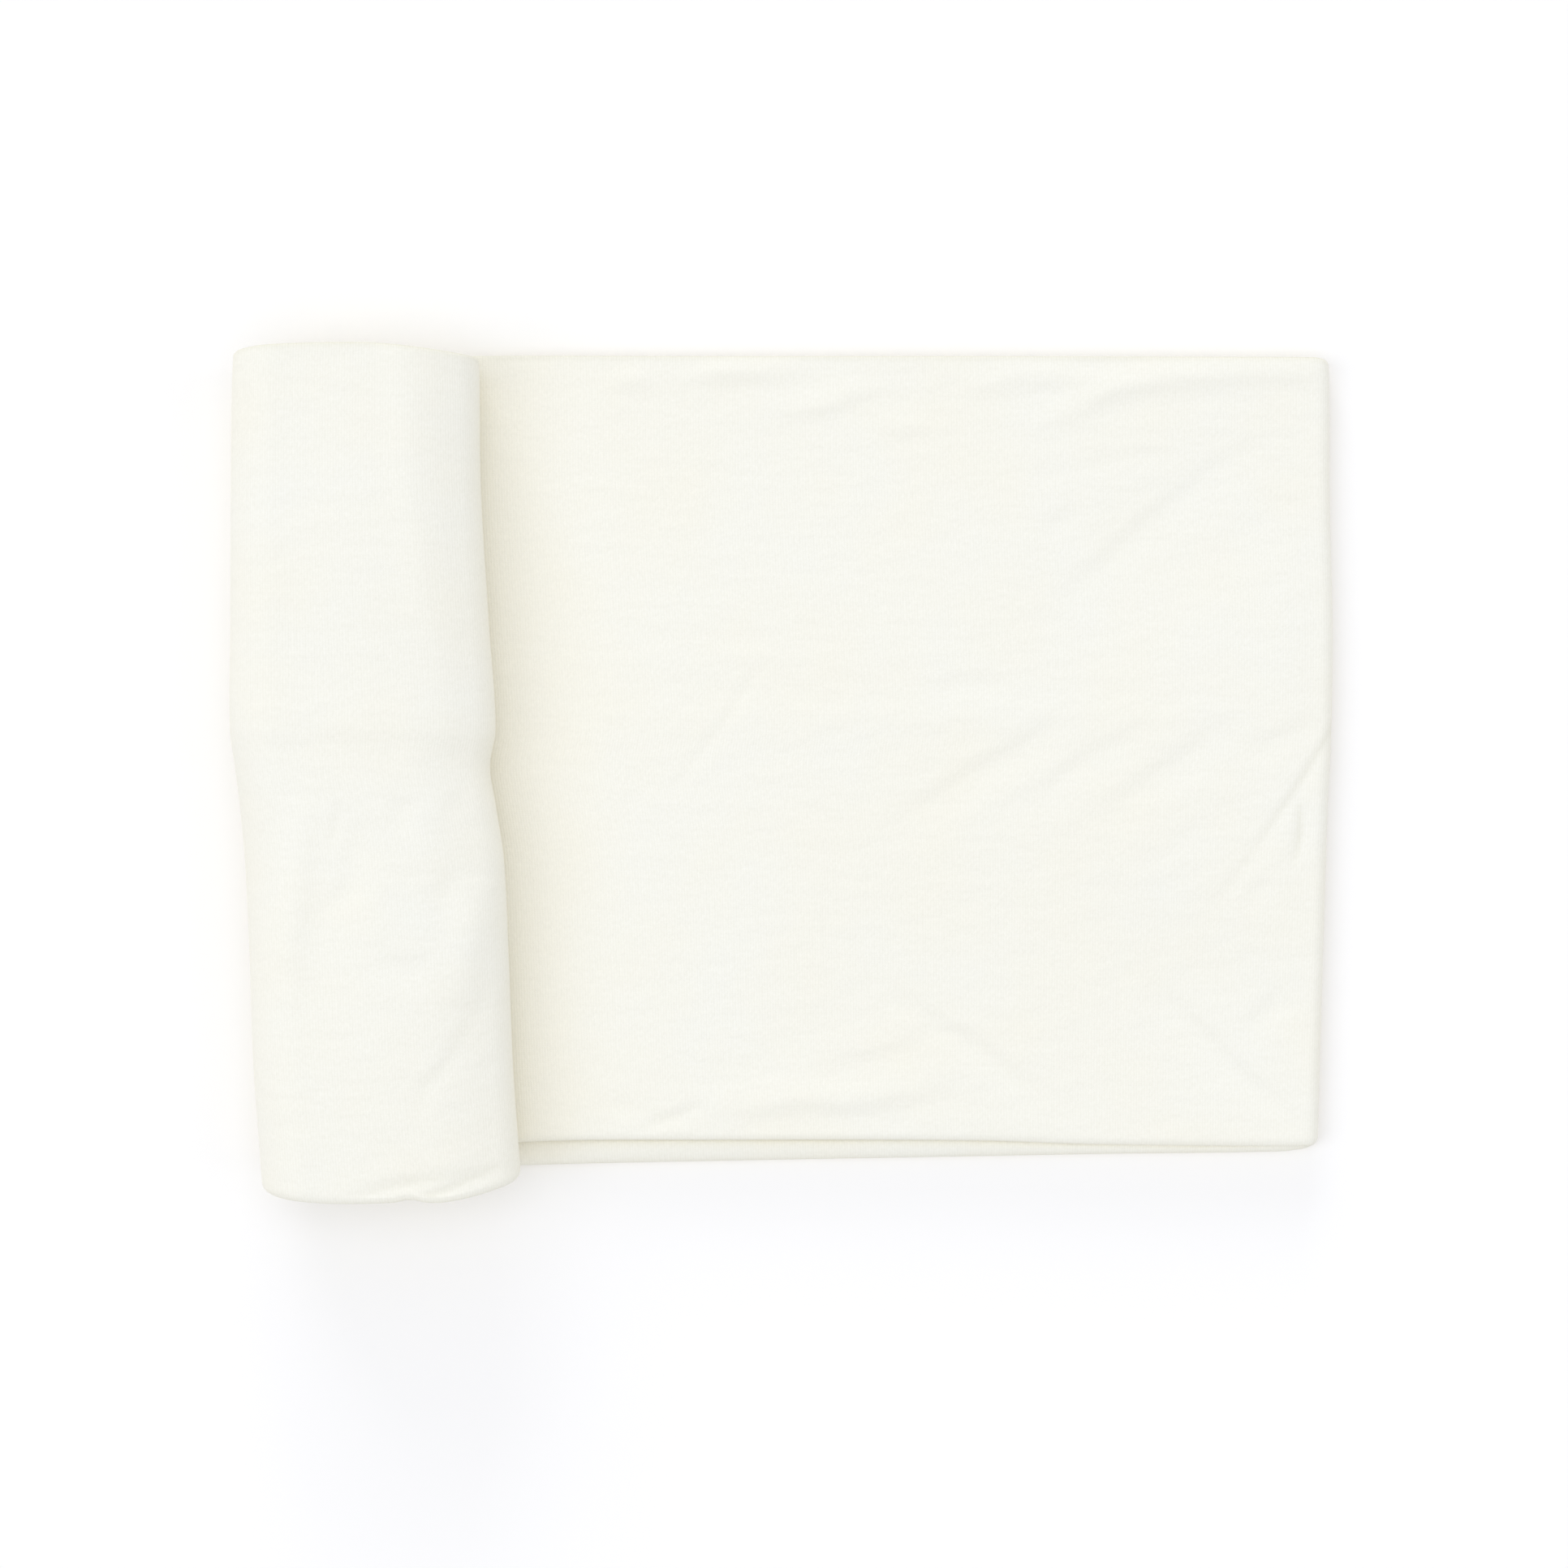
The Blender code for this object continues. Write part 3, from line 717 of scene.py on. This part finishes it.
def corner_ring(used, cell):
    """The lattice points round a cell, with every point that finer neighbours have on its sides."""
    i0, i1, j0, j1 = cell
    ring = [(i, j0) for i in range(i0, i1) if used[i, j0]]
    ring += [(i1, j) for j in range(j0, j1) if used[i1, j]]
    ring += [(i, j1) for i in range(i1, i0, -1) if used[i, j1]]
    return ring + [(i0, j) for j in range(j1, j0, -1) if used[i0, j]]


def rim(used):
    """The cloth's cut edge as pairs of neighbouring lattice points, once round the sheet."""
    last_i, last_j = (size - 1 for size in used.shape)
    lines = (
        [(i, 0) for i in range(last_i + 1)],
        [(last_i, j) for j in range(last_j + 1)],
        [(i, last_j) for i in range(last_i, -1, -1)],
        [(0, j) for j in range(last_j, -1, -1)],
    )
    for line in lines:
        line = [point for point in line if used[point]]
        yield from zip(line, line[1:])


def run_lengths(points, columns, rows):
    """How far each step lies along the cloth and each unit across it, in metres, for the knit to follow."""
    lengths = []
    for line in (points[:, (columns.start + columns.stop) // 2], points[rows]):
        pieces = np.linalg.norm(np.diff(line, axis=0), axis=1)
        lengths.append(np.concatenate([[0], np.cumsum(pieces)]))
    return lengths


def fold_shade(lengths, across):
    """For each unit across the cloth, how much shade is painted by the edge of a long fold."""
    shade_depths = np.zeros(len(lengths))
    for name, j0, j1, _ in across:
        from_edge = lengths - lengths[(j0 + j1) // 2]
        shade_depths += FOLD_SHADE_DEPTHS.get(name, 0.0) * np.exp(-((from_edge / FOLD_SHADE_REACH) ** 2))
    return shade_depths


def cloth():
    """The whole blanket as one closed sheet, with its length and width as a UV map."""
    st, sec = stations(), section()
    along, across = spans_along(), spans_across()
    shape = (along[-1][3] + 1, across[-1][2] + 1)
    layer_1 = next(slice(j0, j1 + 1) for name, j0, j1, _ in across if name == "layer 1")
    flat = next((i0, i1) for stack, name, i0, i1, _ in along if (stack, name) == ("upper", "flat"))
    mid_flat = sum(flat) // 2
    points, faces, runs, fold_shades, bounce_shades = [], [], [], [], []
    used, numbers = {}, {}
    for side in (1, -1):
        grid = cells(side, along, across)
        used[side] = np.zeros(shape, bool)
        for i0, i1, j0, j1 in grid:
            used[side][[i0, i0, i1, i1], [j0, j1, j0, j1]] = True
        place = placed(st, sec, side)
        if side > 0:
            lengths = run_lengths(place, layer_1, mid_flat)
            # painted shade along the fold edges; relief adds the painted shade along sharp creases
            shade_marks = np.tile(fold_shade(lengths[1], across), (shape[0], 1))
            relief(place, shade_marks, st, layer_1)
        number = np.full(shape, -1)
        number[used[side]] = np.arange(used[side].sum()) + sum(len(p) for p in points)
        points.append(place[used[side]])
        i, j = np.nonzero(used[side])
        runs.append(np.stack([lengths[0][i], lengths[1][j]], axis=-1))
        fold_shades.append(shade_marks[i, j])
        bounce_shades.append(st.by_roll[i, 0])
        for cell in grid:
            ring = [number[point] for point in corner_ring(used[side], cell)]
            faces.append(ring[::-1] if side > 0 else ring)
        numbers[side] = number
    top, bottom = numbers[1], numbers[-1]
    for start, end in rim(used[1]):
        faces.append([top[start], top[end], bottom[end], bottom[start]])
    points = np.concatenate(points)
    points[:, :2] -= (points[:, :2].min(axis=0) + points[:, :2].max(axis=0)) / 2
    shade_marks = {SHADE_MARK: np.concatenate(fold_shades), BOUNCE_MARK: np.concatenate(bounce_shades)}
    return mesh_piece("swaddle_blanket", points, faces, np.concatenate(runs), shade_marks)


def mesh_piece(name, points, faces, runs, shade_marks):
    """A smooth piece, with its painted shade stored at its points and its run as a UV map."""
    mesh = bpy.data.meshes.new(name)
    mesh.from_pydata(points.tolist(), [], [[int(k) for k in face] for face in faces])
    for shade_name, values in shade_marks.items():
        mesh.attributes.new(shade_name, "FLOAT", "POINT").data.foreach_set("value", values.astype(np.float32))
    lengths = mesh.uv_layers.new(name=RUN_MAP)
    corners = np.zeros(len(mesh.loops), np.int32)
    mesh.loops.foreach_get("vertex_index", corners)
    lengths.data.foreach_set("uv", runs[corners].astype(np.float32).ravel())
    mesh.shade_smooth()
    piece = bpy.data.objects.new(name, mesh)
    bpy.context.scene.collection.objects.link(piece)
    return piece


# ---------------------------------------------------------------- the knit's finish

def linked(tree, socket, value):
    """Gives an input socket a plain value, or the output that feeds it."""
    if isinstance(value, bpy.types.NodeSocket):
        tree.links.new(value, socket)
    else:
        socket.default_value = value


def calc(tree, operation, *values):
    """A math node on outputs or plain numbers."""
    node = tree.nodes.new("ShaderNodeMath")
    node.operation = operation
    for socket, value in zip(node.inputs, values):
        linked(tree, socket, value)
    return node.outputs[0]


def noise(tree, place, scale, detail=1.0):
    """A flat noise between 0 and 1."""
    node = tree.nodes.new("ShaderNodeTexNoise")
    node.noise_dimensions = "2D"
    tree.links.new(place, node.inputs["Vector"])
    node.inputs["Scale"].default_value = scale
    node.inputs["Detail"].default_value = detail
    return node.outputs["Fac"]


def stretched(tree, place, along, across):
    """A place with its two lengths scaled, for a noise that is longer one way."""
    node = tree.nodes.new("ShaderNodeMapping")
    tree.links.new(place, node.inputs["Vector"])
    node.inputs["Scale"].default_value = (along, across, 1.0)
    return node.outputs["Vector"]


def new_group(name, inputs, outputs):
    """A shader node group with number inputs and their values, and number outputs."""
    tree = bpy.data.node_groups.new(name, "ShaderNodeTree")
    for label, value in inputs.items():
        socket = tree.interface.new_socket(label, in_out="INPUT", socket_type="NodeSocketFloat")
        socket.default_value = value
    for label in outputs:
        tree.interface.new_socket(label, in_out="OUTPUT", socket_type="NodeSocketFloat")
    return tree, tree.nodes.new("NodeGroupInput").outputs, tree.nodes.new("NodeGroupOutput").inputs


def jersey_group():
    """Jersey knit on the cloth's own run: upright ribs of small V-shaped stitches, with uneven yarn."""
    tree, given, result = new_group(
        "Jersey stitches",
        {
            "Rib Width": 1.04 * MM,
            "Stitch Length": 0.8 * MM,
            "Waver": 0.2 * MM,
            "Yarn Unevenness": 0.9,
            "Cockling": 3.5,
        },
        ("Height", "Grooves", "Yarn"),
    )
    run = tree.nodes.new("ShaderNodeUVMap")
    run.uv_map = RUN_MAP
    parts = tree.nodes.new("ShaderNodeSeparateXYZ")
    tree.links.new(run.outputs["UV"], parts.inputs[0])
    along, across = parts.outputs["X"], parts.outputs["Y"]
    waver = calc(tree, "SUBTRACT", noise(tree, run.outputs["UV"], WAVER_SCALE), 0.5)
    along = calc(tree, "MULTIPLY_ADD", waver, given["Waver"], along)
    rib = calc(tree, "FRACT", calc(tree, "DIVIDE", along, given["Rib Width"]))
    from_middle = calc(tree, "ABSOLUTE", calc(tree, "MULTIPLY_ADD", rib, 2.0, -1.0))
    stitch = calc(tree, "DIVIDE", across, given["Stitch Length"])
    stitch = calc(tree, "FRACT", calc(tree, "MULTIPLY_ADD", from_middle, STITCH_SLANT, stitch))
    from_stitch = calc(tree, "ABSOLUTE", calc(tree, "MULTIPLY_ADD", stitch, 2.0, -1.0))
    rounded = calc(tree, "SUBTRACT", 1.0, calc(tree, "POWER", from_middle, ROUNDNESS))
    looped = calc(tree, "SUBTRACT", 1.0, calc(tree, "POWER", from_stitch, ROUNDNESS))
    yarn = noise(tree, stretched(tree, run.outputs["UV"], *YARN_STRETCH), YARN_SCALE, YARN_DETAIL)
    uneven = calc(tree, "MULTIPLY", calc(tree, "SUBTRACT", yarn, 0.5), given["Yarn Unevenness"])
    loops = calc(tree, "MULTIPLY_ADD", looped, LOOP_HEIGHT, RIB_HEIGHT)
    height = calc(tree, "ADD", calc(tree, "MULTIPLY", rounded, loops), uneven)
    cockled = noise(tree, stretched(tree, run.outputs["UV"], *COCKLING_STRETCH), COCKLING_SCALE)
    cockled = calc(tree, "MULTIPLY", cockled, given["Cockling"])
    tree.links.new(calc(tree, "ADD", height, cockled), result["Height"])
    tree.links.new(calc(tree, "POWER", from_middle, GROOVE_SHARPNESS), result["Grooves"])
    tree.links.new(yarn, result["Yarn"])
    return tree


def fibre_group():
    """What the fibres add: a fine fuzz, and broad soft patches where the cloth is a little warmer."""
    tree, given, result = new_group(
        "Soft fibres", {"Fuzz Size": 0.35 * MM, "Patch Size": 40 * MM}, ("Fuzz", "Patches")
    )
    place = tree.nodes.new("ShaderNodeTexCoord").outputs["Object"]
    for label, size, detail in (("Fuzz", "Fuzz Size", 3.0), ("Patches", "Patch Size", 2.0)):
        node = tree.nodes.new("ShaderNodeTexNoise")
        tree.links.new(place, node.inputs["Vector"])
        tree.links.new(calc(tree, "DIVIDE", 1.0, given[size]), node.inputs["Scale"])
        node.inputs["Detail"].default_value = detail
        tree.links.new(node.outputs["Fac"], result[label])
    return tree


def mixed(tree, share, first, second):
    """A colour between two others."""
    node = tree.nodes.new("ShaderNodeMix")
    node.data_type = "RGBA"
    linked(tree, node.inputs["Factor"], share)
    linked(tree, node.inputs[COLOUR_A], first)
    linked(tree, node.inputs[COLOUR_B], second)
    return node.outputs[COLOUR_OUT]


def painted_shade_on(tree, name):
    """One kind of the cloth's painted shade, as stored at its points."""
    node = tree.nodes.new("ShaderNodeAttribute")
    node.attribute_name = name
    return node.outputs["Fac"]


def knit_material(jersey, fibres):
    """Cream jersey: matt and soft, with a deeper tone where the yarn is uneven, painted shade in its
    grooves, at its fold edges and along sharp creases, and a painted warm shade beside the roll.
    """
    material = bpy.data.materials.new("cream jersey knit")
    material.use_nodes = True
    tree = material.node_tree
    shader = tree.nodes["Principled BSDF"]
    stitches, fuzz = (tree.nodes.new("ShaderNodeGroup") for _ in range(2))
    stitches.node_tree, fuzz.node_tree = jersey, fibres
    patches_and_bounce = calc(tree, "MULTIPLY_ADD", fuzz.outputs["Patches"], PATCH_CONTRAST, PATCH_LEVEL)
    # painted warm shade beside the roll, added to the random warm patches
    patches_and_bounce = calc(tree, "ADD", patches_and_bounce, painted_shade_on(tree, BOUNCE_MARK))
    colour = mixed(tree, patches_and_bounce, CREAM, CREAM_WARM_AND_BOUNCE)
    # painted shade in the grooves between ribs
    deep_tone_and_shade = calc(tree, "MULTIPLY", stitches.outputs["Grooves"], GROOVE_SHADE_TONE)
    deep_tone_and_shade = calc(tree, "MULTIPLY_ADD", stitches.outputs["Yarn"], YARN_TONE, deep_tone_and_shade)
    # painted shade at the fold edges and along sharp creases
    deep_tone_and_shade = calc(tree, "MULTIPLY_ADD", painted_shade_on(tree, SHADE_MARK), FOLD_SHADE_TONE, deep_tone_and_shade)
    colour = mixed(tree, deep_tone_and_shade, colour, CREAM_DEEP_AND_SHADE)
    tree.links.new(colour, shader.inputs["Base Color"])
    rough = calc(tree, "MULTIPLY_ADD", fuzz.outputs["Fuzz"], FUZZ_ROUGHNESS, ROUGHNESS)
    tree.links.new(rough, shader.inputs["Roughness"])
    height = calc(tree, "MULTIPLY_ADD", fuzz.outputs["Fuzz"], FUZZ_HEIGHT, stitches.outputs["Height"])
    bump = tree.nodes.new("ShaderNodeBump")
    bump.inputs["Strength"].default_value = KNIT_STRENGTH
    bump.inputs["Distance"].default_value = KNIT_HEIGHT
    tree.links.new(height, bump.inputs["Height"])
    tree.links.new(bump.outputs["Normal"], shader.inputs["Normal"])
    shader.inputs["Specular IOR Level"].default_value = SHINE
    shader.inputs["Sheen Weight"].default_value = SHEEN
    shader.inputs["Sheen Roughness"].default_value = SHEEN_ROUGHNESS
    return material


# ---------------------------------------------------------------- the room

def camera_above():
    """The camera, looking straight down."""
    view = bpy.data.cameras.new("view from above")
    view.sensor_fit = "HORIZONTAL"
    view.angle = 2 * math.atan(VIEW_WIDTH / 2 / (CAMERA_HEIGHT - UPPER_SIDE))
    camera = bpy.data.objects.new("view from above", view)
    camera.location = (*VIEW_CENTRE, CAMERA_HEIGHT)
    bpy.context.scene.collection.objects.link(camera)
    bpy.context.scene.camera = camera


def floor():
    """The pale surface that the blanket lies on."""
    material = bpy.data.materials.new("pale floor")
    material.use_nodes = True
    shader = material.node_tree.nodes["Principled BSDF"]
    shader.inputs["Base Color"].default_value = FLOOR_WHITE
    shader.inputs["Roughness"].default_value = FLOOR_ROUGHNESS
    bpy.ops.mesh.primitive_plane_add(size=FLOOR_SIZE, location=(0, 0, 0))
    ground = bpy.context.object
    ground.name = "floor"
    ground.data.materials.append(material)


def lights():
    """The room's even light, and soft lamps far away."""
    world = bpy.data.worlds.new("studio")
    bpy.context.scene.world = world
    world.use_nodes = True
    background = world.node_tree.nodes["Background"]
    background.inputs["Color"].default_value = (*LIGHT_TINT, 1.0)
    background.inputs["Strength"].default_value = ROOM_LIGHT
    for name, azimuth, elevation, width, strength in LIGHTS:
        lamp = bpy.data.lights.new(name, "SUN")
        lamp.angle = math.radians(width)
        lamp.energy = strength
        lamp.color = LIGHT_TINT
        light = bpy.data.objects.new(name, lamp)
        tilt, turn = math.radians(90 - elevation), math.radians(azimuth)
        light.rotation_euler = (-tilt, 0, turn)
        bpy.context.scene.collection.objects.link(light)


bpy.context.scene.view_settings.view_transform = "Standard"
camera_above()
lights()
floor()
blanket = cloth()
blanket.data.materials.append(knit_material(jersey_group(), fibre_group()))
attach(blanket, BODY)
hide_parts(NODE)
